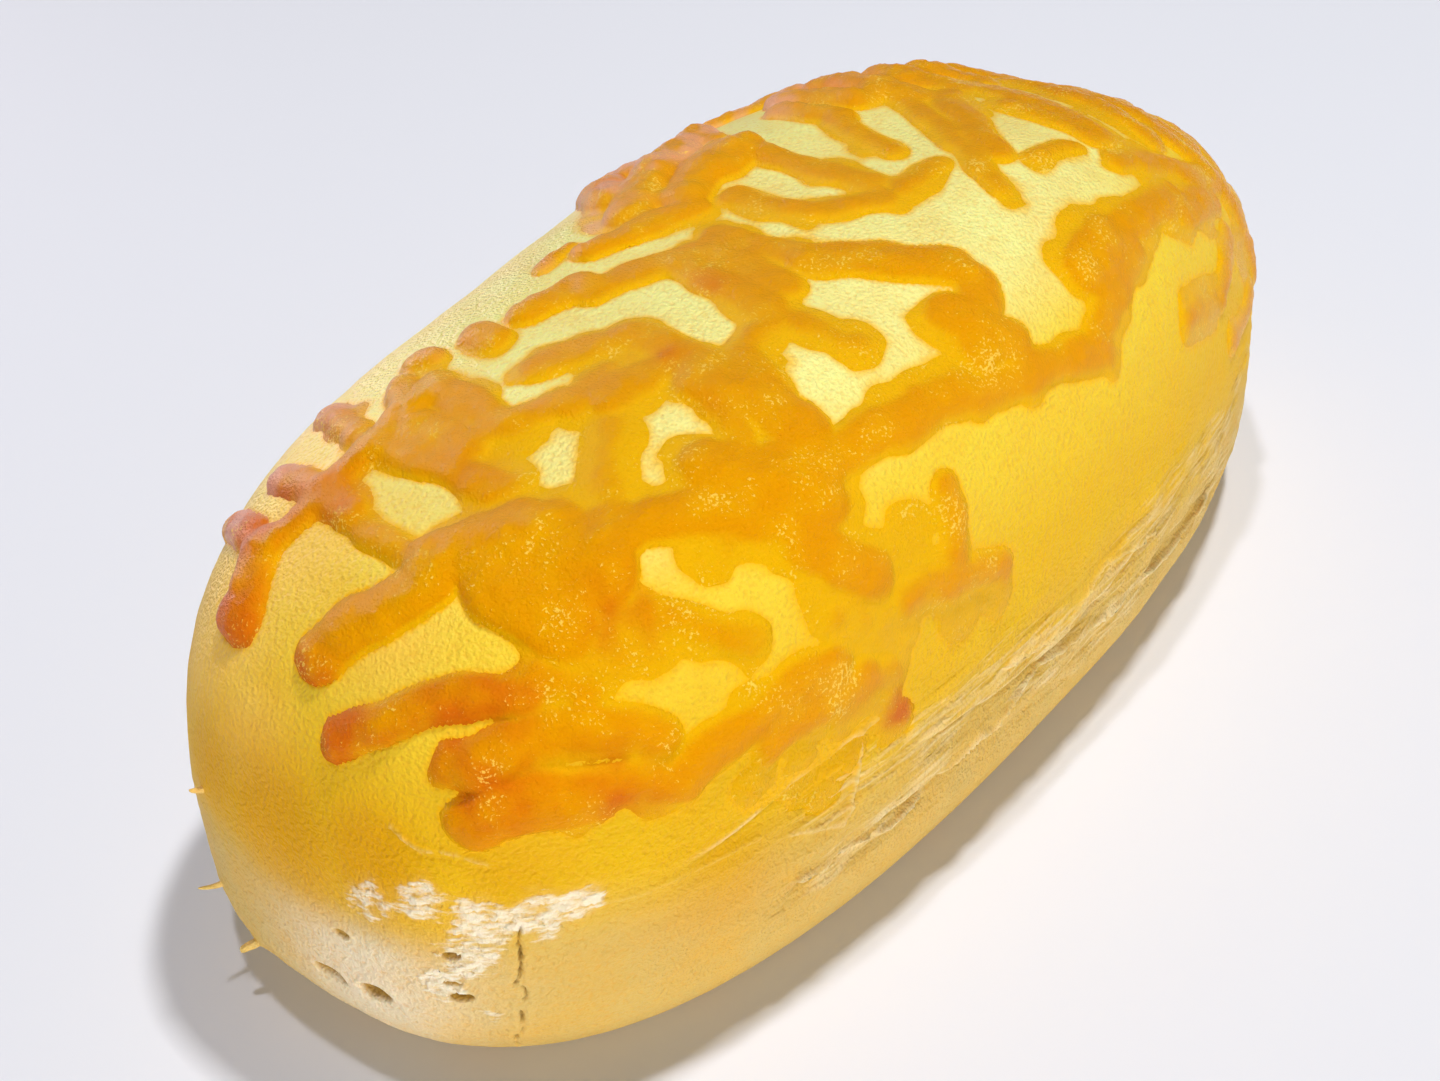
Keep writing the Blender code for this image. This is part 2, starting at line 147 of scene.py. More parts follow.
# Where steam broke through, in mm: the middle of each mouth, its length, its height and its depth
PORES = (
    ((-75.0, -4.2, 11.0), 3.9, 1.9, 1.9),
    ((-74.2, -9.4, 11.4), 3.3, 2.1, 1.9),
    ((-71.0, -17.0, 18.8), 1.7, 1.2, 1.3),
    ((-70.9, -17.4, 13.4), 2.2, 1.2, 1.4),
    ((-74.6, -6.8, 18.1), 1.8, 1.0, 0.4),
    ((-71.2, -16.7, 15.2), 1.8, 0.5, 0.6),
)
CRACK = ((-66.6, -21.7, 22.0), (-67.2, -21.5, 19.4), (-67.2, -21.6, 17.2), (-67.8, -21.0, 15.2),
         (-67.3, -21.3, 13.6), (-67.7, -20.9, 10.4), (-67.4, -20.4, 8.6), (-67.6, -19.7, 6.6),
         (-67.0, -19.3, 4.4))


# The faces that are halved for finer detail, by the middle of each in mm
def near_end(middles):
    east, north, up = middles.T
    return (up > 0.3) & (up < 31) & (east < -44) & (north < 14)


def fuller_side(middles):
    east, north, up = middles.T
    return (up > 0.3) & (up < 25) & (east > -44) & (east < 50) & (north < -25)


def near_openings(middles):
    close = np.zeros(len(middles), bool)
    for place, long, _, _ in PORES:
        close |= np.linalg.norm(middles - np.array(place), axis=1) < long / 2 + 2
    for place in CRACK:
        close |= np.linalg.norm(middles - np.array(place), axis=1) < 2.2
    return close


crust = take_solid("bun", "crust", CRUST_GRAIN, CRUST_PASSES)
refine(crust, near_end, 2)
refine(crust, fuller_side, 2)
refine(crust, near_openings, 25)

# The form before it folds and wrinkles, and each point's place round it, for what runs along the side
form = points_of(crust)
outward = normals_of(crust)
east, north, up = form.T
turn = np.arctan2(east / HALF_LENGTH, -north / HALF_WIDTH)
around = np.column_stack([HALF_LENGTH * np.sin(turn), HALF_LENGTH * np.cos(turn), up])
base_form = BVHTree.FromPolygons(
    (form * MM).tolist(), [tuple(face.vertices) for face in crust.data.polygons]
)


def on_crust(place):
    """The crust's own point nearest a place in mm, and its normal."""
    point, normal, _, _ = base_form.find_nearest(Vector(place) * MM)
    return np.array(point) / MM, np.array(normal)


def from_line(points, line):
    """How far each point is from a line of places on the crust, and how far it is above that line."""
    nearest = np.full(len(points), 1e9)
    above = np.zeros(len(points))
    line = [on_crust(place)[0] for place in line]
    for start, end in zip(line, line[1:]):
        run = end - start
        part = np.clip((points - start) @ run / (run @ run), 0, 1)
        away = points - (start + part[:, None] * run)
        distance = np.linalg.norm(away, axis=1)
        closer = distance < nearest
        nearest[closer] = distance[closer]
        above[closer] = away[closer, 2]
    return nearest, above


def swell_of_dough(points):
    """How far the soft dough stands off its solid's form, in mm: broad lumps and small ones."""
    return (0.22 * unevenness(points, 14, 1) + 0.05 * unevenness(points, 2.6, 2)) * fade(points[:, 2], 0.5, 5)


# The lower side: long creases where the skin folded, as in the solid, each sharper here. For each, in
# mm, where it starts and ends, its height, how far it wanders and how deep it is
CREASES = ((-46, 42, 11.5, 1.4, 0.8), (-30, 30, 17.5, 1.8, 0.6), (-56, -26, 24.0, 1.6, 0.4))
rise = np.zeros(len(form))
lines = np.zeros(len(form))
lips = np.zeros(len(form))
for start, end, level, wander, depth in CREASES:
    height = up - level - wander * np.sin(east / 9 + level) - 0.45 * unevenness(around, 9, level)
    ends = fade(east, start, start + 7) * fade(-east, -end, 7 - end) * (north < 0)
    overhang = fade(height, -0.1, 0.3) * np.exp(-np.maximum(height, 0) / 2.2)
    rise += depth * ends * (overhang - 0.5 * bell(height, 0.5))
    lines += ends * bell(height + 0.1, 0.28)
    lips += 0.5 * ends * bell(height - 0.5, 0.35)

# and the same on the side that faces away, in gentler form
FAR_CREASES = ((-50, 44, 10.0, 1.6, 0.3), (-24, 56, 16.5, 1.8, 0.2))
for start, end, level, wander, depth in FAR_CREASES:
    height = up - level - wander * np.sin(east / 8 - level) - 0.5 * unevenness(around, 6, level)
    ends = fade(east, start, start + 7) * fade(-east, -end, 7 - end) * (north > 0)
    overhang = fade(height, -0.1, 0.3) * np.exp(-np.maximum(height, 0) / 2.2)
    rise += depth * ends * (overhang - 0.8 * bell(height, 0.6))
    lines += ends * bell(height + 0.1, 0.28)

# Thin folds of skin, as lines of places on the crust: how wide and high each stands, and how strong a pale
# painted highlight runs along it
FOLDS = (
    ((-70.6, -12.0, 31.4), (-70.6, -13.2, 30.5), (-70.2, -14.5, 29.8), (-69.4, -16.0, 29.9),
     (-68.7, -17.1, 29.8), (-68.1, -18.1, 29.3), (-67.3, -19.4, 28.8)),
    ((-64.5, -23.2, 23.2), (-61.1, -25.8, 22.4), (-57.9, -27.6, 21.9), (-54.3, -29.1, 21.9),
     (-50.5, -30.6, 21.7), (-46.3, -31.8, 21.4)),
    ((-43.1, -32.7, 19.6), (-40.1, -33.4, 18.2), (-37.0, -34.0, 16.9), (-35.7, -34.2, 18.2),
     (-34.8, -34.3, 20.8), (-33.8, -34.2, 23.8), (-32.9, -34.1, 25.9)),
    ((-42.5, -33.0, 13.4), (-38.5, -33.8, 12.6), (-29.7, -35.1, 10.7), (-26.5, -35.4, 11.2),
     (-17.4, -36.1, 14.1), (-14.7, -36.2, 13.1), (-5.7, -36.4, 15.2), (6, -36.4, 13.4),
     (21.4, -36.2, 10.5), (38.8, -34.4, 10.1)),
    ((-12, -36.2, 19.4), (-1.4, -36.4, 17.5), (6.5, -36.3, 20.5), (18, -36.0, 17.0)),
)
FOLD_WIDTHS = (0.2, 0.2, 0.3, 0.4, 0.35)
FOLD_RISES = (0.3, 0.22, 0.35, 0.6, 0.45)
FOLD_HIGHLIGHTS = (0.4, 0.25, 0.45, 0.6, 0.5)
# Pale colour along the upper lips of the creases and the ridges of the folds is a painted highlight
pale_dough_and_highlight = lips * fade(unevenness(around, 5, 6), -0.4, 0.1)
for line, width, height, pale in zip(FOLDS, FOLD_WIDTHS, FOLD_RISES, FOLD_HIGHLIGHTS):
    away, above = from_line(form, line)
    broken = fade(unevenness(around, 2.2, height * 40), -0.7, -0.1)
    rise += height * broken * bell(away, width) * 1.2
    rise -= 0.5 * height * bell(away, 0.9) * (above < 0)
    pale_dough_and_highlight = np.maximum(pale_dough_and_highlight, pale * broken * bell(away, width))

# Fine wrinkles that run lengthwise in bundles where the side drew in, fainter on the side that faces
# away, and the soft unevenness of dough
side = fade(up, 3, 7) * fade(-up, -30, -20)
drawn_in = side * fade(np.abs(north), 14, 27) * fade(east, -56, -36) * np.where(north > 0, 0.45, 1)
bundles = fade(unevenness(around, (20, 20, 8), 3), -0.25, 0.3)
wrinkle = unevenness(around, (9, 9, 0.95), 5)
rise += 0.4 * drawn_in * bundles * wrinkle
rise += 0.1 * side * (1 - drawn_in) * unevenness(around, (5, 5, 1.5), 8)
rise += 0.16 * side * drawn_in * unevenness(around, (4.4, 4.4, 1.8), 9)
rise += swell_of_dough(form)

# Dry flakes over the near end: plates of skin that lifted in short level tears
FLAKY = (
    ((-71.3, -14.8, 24.6), 2.8, 0.8), ((-69.1, -19.1, 22.3), 3.4, 1.0), ((-65.2, -22.8, 22.8), 3.0, 1.2),
    ((-71.6, -15.9, 15.0), 2.6, 1.0), ((-70.4, -18.2, 18.5), 3.4, 0.9), ((-62.6, -24.6, 23.4), 2.6, 0.8),
    ((-73.4, -10.6, 23.6), 3.4, 0.7), ((-69.0, -19.6, 10.5), 2.4, 0.5), ((-73.6, -9.0, 17.0), 3.0, 0.25),
)
flaky = strongest_spot(form, FLAKY)
flaky = fade(flaky * (1 + 0.5 * unevenness(around, (4, 4, 1.6), 12)), 0.1, 0.75)
plates = unevenness(around, (2.2, 2.2, 0.75), 11, 3)
lifted = fade(plates, -0.08, 0.06) * flaky
rise += 0.16 * lifted - 0.14 * flaky * bell(plates + 0.1, 0.08)

# Pores and the crack, cut into the skin as it stands now
pits = np.zeros(len(form))
shift = outward * rise[:, None]
for place, long, tall, depth in PORES:
    middle, normal = on_crust(place)
    along = np.cross((0, 0, 1), normal)
    along /= np.linalg.norm(along)
    away = form - middle
    ring = np.hypot(away @ along / (long / 2), away @ np.cross(normal, along) / (tall / 2))
    ring = ring * (1 + 0.13 * unevenness(form, 1.3, long)) + 9 * (np.abs(away @ normal) > 4)
    mouth = fade(-ring, -1.06, -0.8)
    upper_lip = (away[:, 2] > 0) * bell(ring - 1.35, 0.3)
    shift += normal * (0.15 * upper_lip - depth * mouth)[:, None]
    pits = np.maximum(pits, mouth * min(1, depth))
jagged = form + 0.45 * np.column_stack([unevenness(form, 2.0, seed, 3) for seed in (23, 24, 25)])
away, _ = from_line(jagged, CRACK)
split = away + 0.12 * unevenness(form, 0.7, 21) - 0.05
gape = 0.03 + 0.1 * unevenness(form, 2.4, 22)
groove = fade(-split, -gape - 0.16, -gape + 0.1) * (up > 3.6)
shift -= outward * (0.6 * groove - 0.1 * bell(away - 0.7, 0.35))[:, None]

skin = form + shift
skin[:, 2] = np.where(up < 0.4, np.maximum(form[:, 2], 0), np.maximum(skin[:, 2], 0.05))
move_points(crust, skin)
crust.data.shade_smooth()

# Scraps: three crumbs of dough that dried on the far side of the near end. Each is a pinch of the
# same dough, drawn to a blunt or bent tip, and baked onto the crust.
SCRAPS = (
    ((-72.8, 12.0, 23.6), 0.95, 0.35, 1.3, 0.5),
    ((-73.4, 12.0, 11.6), 0.7, 0.3, 2.3, 0.9),
    ((-74.0, 8.0, 6.4), 1.1, 0.75, 1.9, -0.2),
)
made = []
for place, foot, tip, length, bend in SCRAPS:
    root, normal = on_crust(place)
    bpy.ops.mesh.primitive_cylinder_add(vertices=12, radius=MM / 2, depth=MM)
    scrap = bpy.context.object
    bpy.ops.object.mode_set(mode="EDIT")
    bpy.ops.mesh.select_all(action="SELECT")
    bpy.ops.mesh.bisect(plane_co=(0, 0, 0.2 * MM), plane_no=(0, 0, 1))
    bpy.ops.mesh.select_all(action="SELECT")
    bpy.ops.mesh.bisect(plane_co=(0, 0, -0.2 * MM), plane_no=(0, 0, 1))
    bpy.ops.object.mode_set(mode="OBJECT")
    round_off = scrap.modifiers.new("round_off", "SUBSURF")
    round_off.levels = round_off.render_levels = 2
    bpy.ops.object.modifier_apply(modifier="round_off")
    local = points_of(scrap)
    along = local[:, 2] + 0.5
    width = foot + (tip - foot) * along
    side_way = np.cross(normal, (0, 0, 1))
    side_way /= np.linalg.norm(side_way)
    up_way = np.cross(side_way, normal)
    lumpy = 1 + 0.25 * unevenness(local + root, 0.6, 61)
    placed = (
        root
        + np.outer(along * (length + 0.5) - 0.5, normal)
        + np.outer(local[:, 0] * width * lumpy, side_way)
        + np.outer(local[:, 1] * width * lumpy + bend * along**2, up_way)
    )
    move_points(scrap, placed)
    scrap.location = (0, 0, 0)
    made.append(scrap)
bpy.ops.object.select_all(action="DESELECT")
for scrap in made:
    scrap.select_set(True)
bpy.context.view_layer.objects.active = made[0]
bpy.ops.object.join()
scraps = made[0]
scraps.name = "dough_scraps"
bpy.ops.object.mode_set(mode="EDIT")
bpy.ops.mesh.select_all(action="SELECT")
bpy.ops.mesh.normals_make_consistent(inside=False)
bpy.ops.object.mode_set(mode="OBJECT")
scraps.data.shade_smooth()
scraps.select_set(False)

# Cheese: grated cheddar strewn over the crown, whose shreds ran together as they melted and set
# again as soft, half-round ropes in a thin film of their own fat. It is the crust's own skin, raised
# by how thick the cheese lies on it. The tips that stood nearest the heat toasted brown, and a pale
# pink sheen of light along the far rim is painted into its colour.
CHEESE_GRAIN = 0.42
CHEESE_PASSES = 8
CHEESE_FOOT = 12
THICK_PER_WIDTH = 0.3
ROPE_STEPS = 6
JOIN_SHARPNESS = 4
SKIRT = 0.36
FILM = 0.44
BURIED = 0.24
ROPE_TRIM = 0.12
MOLTEN = 0.62
THINNEST = 0.08
BACKING = 0.5

# Where each shred that can be told apart lies, seen from above, in mm: from, to and width
SHREDS = (
    # near end
    (-69.8, -4.5, -59.5, -18.5, 4.2), (-66.5, -14.5, -63, -19.5, 3.8), (-68, -17.5, -58.5, -25.6, 5.4),
    (-65.5, -17, -56, -24, 5), (-61, -23.5, -51.5, -29.2, 5), (-58.5, -21.5, -52, -27.5, 5),
    (-58.5, -18, -55, -22.5, 4), (-66.5, 0.8, -56.5, -6.5, 5.6), (-66, 10.5, -59, 13, 6),
    (-60, 12, -50, 9.5, 4.2),
    # left rim
    (-59, 15, -56.5, 22.5, 4.2), (-52.8, 18, -55.5, 5, 4.4), (-55.5, 6, -56, -3, 3.6),
    (-45, 20, -48, 12, 4), (-41, 13.5, -43.5, 8, 4.8), (-38, 15, -36.5, 12.5, 4.4),
    (-32, 12, -33, 8.5, 4.8), (-28.5, 9.5, -20.5, 7, 5.2), (-20, 14.5, -14.5, 14.5, 3.2),
    (-16.5, 11.5, -3.5, 6.5, 4.8),
    # crown
    (-50, 9.5, -39, 9, 5), (-48.5, 10, -47.5, -6, 5), (-45, 8, -45, -1, 5), (-40.5, 8, -42, -2, 5),
    (-54.5, -9.5, -54, -19, 7.5), (-50, -9, -48.5, -19, 8), (-56, -4.5, -47.5, -13, 7),
    (-47, -15.5, -43.5, -17.5, 6), (-44, -14.5, -36, -8.8, 3.4), (-42, -1.5, -36, -3.5, 4.4),
    (-38, -4, -31, -4.5, 4.4), (-35, 2, -25.5, -1.8, 4.8), (-26, -2, -25, -12, 5.2),
    (-35, -6.2, -27, -8.5, 5.2), (-31.2, -20, -28, -13.5, 4.6), (-27, -11, -25, -22.5, 7),
    (-22.5, -12, -24, -19, 5), (-23, 6.2, -11, 1, 4.8), (-13.5, 2, -15.5, -11, 5.6),
    (-10, 1, -11.5, -10, 5.4), (-22, -12.3, -16, -11.8, 3.6), (-15, -12, -13.5, -20, 3.6),
    (-8, 1.5, -6, -9, 5.2), (-7, -7.5, 4, -20.5, 6.2), (4.5, -21, -3.5, -26.5, 6),
    (-3.5, -21.5, 2, -28.5, 6), (-0.3, 5, 1.5, -4.5, 4.6), (1.5, -4.5, 8.5, -8, 4.4),
    (9.3, 9, 9.3, -6, 4.8), (10, -8.2, 18.3, -8.6, 4.2), (16.6, -3.5, 20.3, 7, 4.2),
    (30, 4, 17.8, -16, 4.2), (34.5, 2.5, 22.8, -12, 5), (25.5, -14, 33.5, -15.8, 3.8),
    (40.5, 3, 39, -17, 5), (37, -5, 37, -17, 4.4),
    # right shoulder
    (-53, -28.4, -34, -32.4, 5.4), (-45, -31, -31.5, -33.6, 4.8), (-36, -33.2, -28, -34.2, 3.8),
    (-48.8, -22, -41.5, -28.8, 4), (-43, -17.5, -31.5, -26.5, 5.8), (-36, -17.5, -28.5, -27.5, 7),
    (-34, -27, -27, -32, 5.6), (-30.5, -34.2, -27.5, -35, 3.4), (-30, -22, -27, -26, 6),
    (-15.5, -30.6, -18, -34.4, 4.4), (-26, -33, -11, -35.2, 4.4), (-27, -24.5, -6, -28, 5.4),
    (-8, -28.3, 13.5, -31.8, 5), (15.8, -27, 23.5, -25.4, 7.6), (12, -31, 26, -27.2, 5),
    (24, -25.6, 40, -25, 5.2), (29, -32.8, 40, -31.8, 3.8), (39, -32, 49, -27.5, 4.2),
    (34.5, -19.8, 46, -21.5, 4.8), (38, -26.5, 50, -25, 5), (42, -34, 53, -29.5, 4),
    # far end
    (48.5, 2, 47.5, -18, 5.6), (52.5, -3, 52, -15, 5.4), (45, -22, 54, -23, 5.4), (20.5, 15, 21.5, 6, 5),
    (25, 18, 26, 8, 5.6), (31, 17, 31.5, 3.5, 6.2), (36.5, 13, 38, 2, 6.2), (42.5, 12, 44.5, 2, 6),
    (25, 8, 46, 9, 5), (48, 11, 53, 3, 5.6), (-8.5, 12, 5, 19, 6.2), (-6, 17, 2, 25.5, 6.2),
    (-4, 9, 9, 13.5, 6.2), (0, 16, 13, 20.5, 6.2), (2, 10, 11, 12, 6),
)

# On the side that faces away, and over the far end, one shred lies at random in each cell of a
# grid, as in the solid: from x, to x, from y, to y in mm, and how many cells each way
HIDDEN_PATCHES = ((2, 58, 21, 32, 7, 2), (52, 66, -26, 18, 2, 6))
draw = random.Random(7)
shreds = list(SHREDS)
for x0, x1, y0, y1, columns, rows in HIDDEN_PATCHES:
    for cell in range(columns * rows):
        column, row = divmod(cell, rows)
        x = x0 + (x1 - x0) * (column + draw.uniform(0.3, 0.7)) / columns
        y = y0 + (y1 - y0) * (row + draw.uniform(0.3, 0.7)) / rows
        turn_of_shred = draw.uniform(0, math.pi)
        half = draw.uniform(8, 15) / 2
        dx, dy = half * math.cos(turn_of_shred), half * math.sin(turn_of_shred)
        shreds.append((x - dx, y - dy, x + dx, y + dy, draw.uniform(4.2, 5.6)))

# Where the fat ran out of the shreds and set as a film: a place on the crust and how far it reached
FILMS = (
    ((-33, -30, 39.5), 4.5), ((-32.5, -32, 35), 4.0), ((-27, -33, 34), 4.5), ((-32, -34, 29), 3.5),
    ((-35.5, -34, 25), 3.2), ((-38.5, -33.5, 22), 2.6), ((-41.5, -32.8, 25.5), 3.4),
    ((-46, -31.5, 27.5), 3.2), ((-18.5, -35, 30), 3.6), ((-13, -35, 29), 3.2), ((-22, -31, 40), 4.0),
    ((-20, -25.5, 48), 2.6), ((-50, -22, 43), 4.5), ((-41, -23, 46), 3.0), ((-58, -20, 40), 3.5),
    ((2, 14, 53), 7.0), ((-6, 15, 52), 6.0), ((44, -26, 43), 5.0), ((50, -10, 48), 8.0),
    ((48, 5, 49), 8.0), ((56, -20, 40), 6.0), ((52, -29, 33), 4.0), ((60, -4, 42), 8.0),
    ((28, 12, 51), 7.0), ((40, 12, 49), 7.0), ((-46, 16, 47), 3.0), ((-38, 13, 51), 3.0),
    ((-29, -3, 53), 3.0), ((38, -22, 46), 3.0),
)

# The roll's plan is between an oval and a rectangle, and plumb lines hang from well above it
PLAN_POWER = 2.7
PLAN_EDGE = 0.985
PLUMB_FROM = 90


def plumb(x, y):
    """Where a plumb line at x, y in mm meets the crust's form, drawn in to the edge when past it."""
    outness = (abs(x / HALF_LENGTH) ** PLAN_POWER + abs(y / HALF_WIDTH) ** PLAN_POWER) ** (1 / PLAN_POWER)
    inward = min(1, PLAN_EDGE / outness) if outness else 1
    above = Vector((x * inward, y * inward, PLUMB_FROM)) * MM
    return np.array(base_form.ray_cast(above, Vector((0, 0, -1)))[0]) / MM


def cheese_depth(points):
    """How thick the cheese lies on each point of the crust, in mm."""
    bent = points + 0.8 * np.column_stack([unevenness(points, 6, seed) for seed in (51, 52, 53)])
    ropes = np.zeros(len(points))
    gap = np.full(len(points), 99.0)
    crisp = np.maximum(fade(points[:, 1], 1, 11), fade(-points[:, 0] - 0.6 * np.abs(points[:, 1]), 44, 54))
    for x0, y0, x1, y1, width in shreds:
        half = width / 2 - ROPE_TRIM
        length = math.hypot(x1 - x0, y1 - y0)
        trim = min(0.3, half * 0.4 / length)
        steps = [trim + (1 - 2 * trim) * step / ROPE_STEPS for step in range(ROPE_STEPS + 1)]
        line = [plumb(x0 + (x1 - x0) * step, y0 + (y1 - y0) * step) for step in steps]
        middle = sum(line) / len(line)
        reach = max(np.linalg.norm(place - middle) for place in line) + width + 3
        near = np.flatnonzero(np.linalg.norm(bent - middle, axis=1) < reach)
        distance = np.full(len(near), 99.0)
        for start, end in zip(line, line[1:]):
            run = end - start
            part = np.clip((bent[near] - start) @ run / (run @ run), 0, 1)
            away = bent[near] - start - part[:, None] * run
            distance = np.minimum(distance, np.linalg.norm(away, axis=1))
        height = THICK_PER_WIDTH * width * np.clip(1 - (distance / half) ** 2, 0, 1) ** 0.55
        ropes[near] += (height * (MOLTEN + (1 - MOLTEN) * crisp[near])) ** JOIN_SHARPNESS
        gap[near] = np.minimum(gap[near], distance - half)
    ropes = ropes ** (1 / JOIN_SHARPNESS)
    oily = fade(unevenness(points, 8, 54), -0.3, 0.4)
    runny = oily * (1 - 0.8 * crisp)
    skirt = SKIRT * (0.5 + 0.8 * runny) * bell(np.maximum(gap, 0), 0.5 + 1.3 * runny)
    film = np.zeros(len(points))
    for place, reach in FILMS:
        film = np.maximum(film, FILM * fade(spot(bent, place, reach), 0.1, 0.7))
    film *= 0.8 + 0.5 * unevenness(points, 4, 55)
    thick = (ropes**3 + skirt**3 + np.maximum(film, 0) ** 3) ** (1 / 3)
    lumps = 0.16 * unevenness(points, 7, 30) + 0.11 * unevenness(points, 3.2, 31)
    return thick * (1 + lumps + 0.12 * unevenness(points, 1.4, 32, 3))


cheese = take_solid("bun", "cheddar", CHEESE_GRAIN, CHEESE_PASSES)
bed = points_of(cheese)
facing = normals_of(cheese)
thick = cheese_depth(bed)
ropes = bed + facing * (thick - BURIED + swell_of_dough(bed))[:, None]
move_points(cheese, ropes)

# Places that toasted: where, how far round, and how brown
TOASTED = (
    ((-67, 1, 38), 4.0, 1.0), ((-69, -5, 36), 4.5, 1.0), ((-66, 11, 38), 5.0, 1.0),
    ((-58, 15, 42), 5.0, 0.8), ((-64, -13, 38), 4.0, 0.8), ((-60, -16, 40), 4.0, 0.7),
    ((-65, -19, 34), 4.0, 0.7), ((-55, 19, 43), 5.0, 0.8), ((-54, 8, 46), 5.0, 0.55),
    ((-45, 17, 46), 5.0, 0.55), ((-57, -25, 33), 5.0, 0.6), ((-48, -2, 49), 4.0, 0.35),
    ((-28.5, -34.7, 25.5), 2.2, 0.9), ((-15, -4, 54), 2.6, 0.5), ((-27, -8, 53), 2.2, 0.45),
    ((30, 14, 50), 7.0, 0.4), ((0, 20, 49), 7.0, 0.55), ((48, -6, 50), 4.0, 0.35),
    ((-30, -14, 52), 3.0, 0.3), ((36, -16, 49), 2.5, 0.3), ((-50, -20, 44), 5.0, 0.5),
)
toast = np.zeros(len(ropes))
for place, reach, strength in TOASTED:
    toast += strength * spot(ropes, place, reach)
toast *= 0.85 + 0.5 * unevenness(ropes, 2.5, 33)
toast = np.clip(toast, 0, 1.3)


def keep_field(piece, name, values):
    """Keeps a number for every point of the piece, for its material to read."""
    piece.data.attributes.new(name, "FLOAT", "POINT").data.foreach_set("value", values)


# Painted sheen: the cheese on the far rim is painted pale pink where light glances off it
painted_rim_sheen = fade(ropes[:, 1], 9, 19) * fade(unevenness(ropes, 3.5, 34), -0.35, 0.45)
keep_field(cheese, "thick", np.clip(thick / 2, 0, 1))
keep_field(cheese, "toast", toast)
keep_field(cheese, "painted_rim_sheen", painted_rim_sheen)

# Only the skin that carries cheese is kept, and it is closed below
bpy.context.view_layer.objects.active = cheese
cheese.select_set(True)
bare = (thick < THINNEST) | (bed[:, 2] < CHEESE_FOOT)
bpy.ops.object.mode_set(mode="EDIT")
bpy.ops.mesh.select_all(action="DESELECT")
bpy.ops.object.mode_set(mode="OBJECT")
cheese.data.vertices.foreach_set("select", bare)
bpy.ops.object.mode_set(mode="EDIT")
bpy.ops.mesh.delete(type="VERT")
bpy.ops.object.mode_set(mode="OBJECT")
backing = cheese.modifiers.new("backing", "SOLIDIFY")
backing.thickness = BACKING * MM
backing.offset = -1
bpy.ops.object.modifier_apply(modifier="backing")
cheese.select_set(False)
cheese.data.shade_smooth()

# What the crust's finish follows: where the egg wash reached, how high the skin lies, where the wash
# ran thin, lightened there as painted light, and where it pooled, flour, flakes, wrinkles, pale skin
# with painted highlights, the cheese's fat, and holes and lines darkened as painted shade. A spot is a
# place in mm, its reach in mm and its strength.
oiled = np.zeros(len(form))
crowned = up > CHEESE_FOOT
oiled[crowned] = cheese_depth(form[crowned])
facing_side = fade(-north, 12, 30) * fade(east, -52, -30) * fade(-east, -62, -40)
wash_edge = 13 + 8 * fade(-east, 30, 66) + 2.0 * unevenness(around, 12, 41) + 4 * facing_side
POOLED = (
    ((-73, 1, 27), 8, 1.0), ((-72, -10, 28), 6, 1.0), ((-73, -2, 26), 7, 0.9),
    ((-66, -21, 27), 5, 0.5), ((-50, -31, 18), 9, 0.6), ((-72, 9, 27), 7, 0.8),
)
# Where the wash ran thin, with its coat also lightened there as painted light on the near left
THIN_WASH_AND_LIT_SPOTS = (
    ((-66, 14, 38), 10, 1.0), ((-72, 6, 34), 7, 0.8), ((-58, 9, 43), 9, 0.9), ((-61, -5, 42), 7, 0.6),
)
keep_field(crust, "wash", fade(up - wash_edge, -6 - 2 * facing_side, 7 + 5 * facing_side))
keep_field(crust, "crown", up / TOP)
keep_field(crust, "thin_wash_and_painted_light", strongest_spot(form, THIN_WASH_AND_LIT_SPOTS))
keep_field(crust, "pooled", strongest_spot(form, POOLED))
floury = 0.75 * spot(form, (-74, -8, 13), 12) * fade(-up, -24, -17)
keep_field(crust, "floury", np.maximum(floury, 0.3 * flaky))
keep_field(crust, "lifted", flaky * (0.8 + 0.2 * lifted))
keep_field(crust, "drawn", drawn_in * (0.3 + 0.7 * bundles))
keep_field(crust, "pale_dough_and_highlight", pale_dough_and_highlight)
keep_field(crust, "oiled", oiled)
# Painted shade: the pores darken inside with their depth
keep_field(crust, "pore_shade", pits)
# Painted shade darkens the crease lines and the crack's groove
keep_field(crust, "crease_shade", np.clip(lines * 0.3 + groove, 0, 1))
crust.data.attributes.new("around", "FLOAT_VECTOR", "POINT").data.foreach_set("vector", around.ravel())


def colour(code):
    """An sRGB hex colour as the linear colour that a socket takes."""
    parts = [int(code[place : place + 2], 16) / 255 for place in (1, 3, 5)]
    return (*(part / 12.92 if part < 0.04045 else ((part + 0.055) / 1.055) ** 2.4 for part in parts), 1)


def add_node(tree, kind, links=None, **settings):
    """A node of that kind with its settings, and its inputs set, or linked, by socket."""
    made = tree.nodes.new(kind)
    for name, value in settings.items():
        setattr(made, name, value)
    for name, value in (links or {}).items():
        if isinstance(value, bpy.types.NodeSocket):
            tree.links.new(value, made.inputs[name])
        else:
            made.inputs[name].default_value = value
    return made


def finish_named(name):
    """A new material, its nodes and its shader."""
    made = bpy.data.materials.new(name)
    made.use_nodes = True
    return made, made.node_tree, made.node_tree.nodes["Principled BSDF"]


# Baked milk-dough crust. Egg wash gives the crown a thin varnish, clear yellow and glossy; the bare
# dough below it is matt beige. Skin grain about 0.45 mm, mottling 6 mm, flakes 0.4 by 2.5 mm, and
# wrinkles 0.5 mm apart that run round the side.
baked, tree, shader = finish_named("baked_milk_dough_crust")
place = add_node(tree, "ShaderNodeTexCoord").outputs["Object"]
in_mm = add_node(tree, "ShaderNodeVectorMath", {0: place, "Scale": 1000}, operation="SCALE").outputs[0]
round_side = add_node(tree, "ShaderNodeAttribute", attribute_name="around").outputs["Vector"]

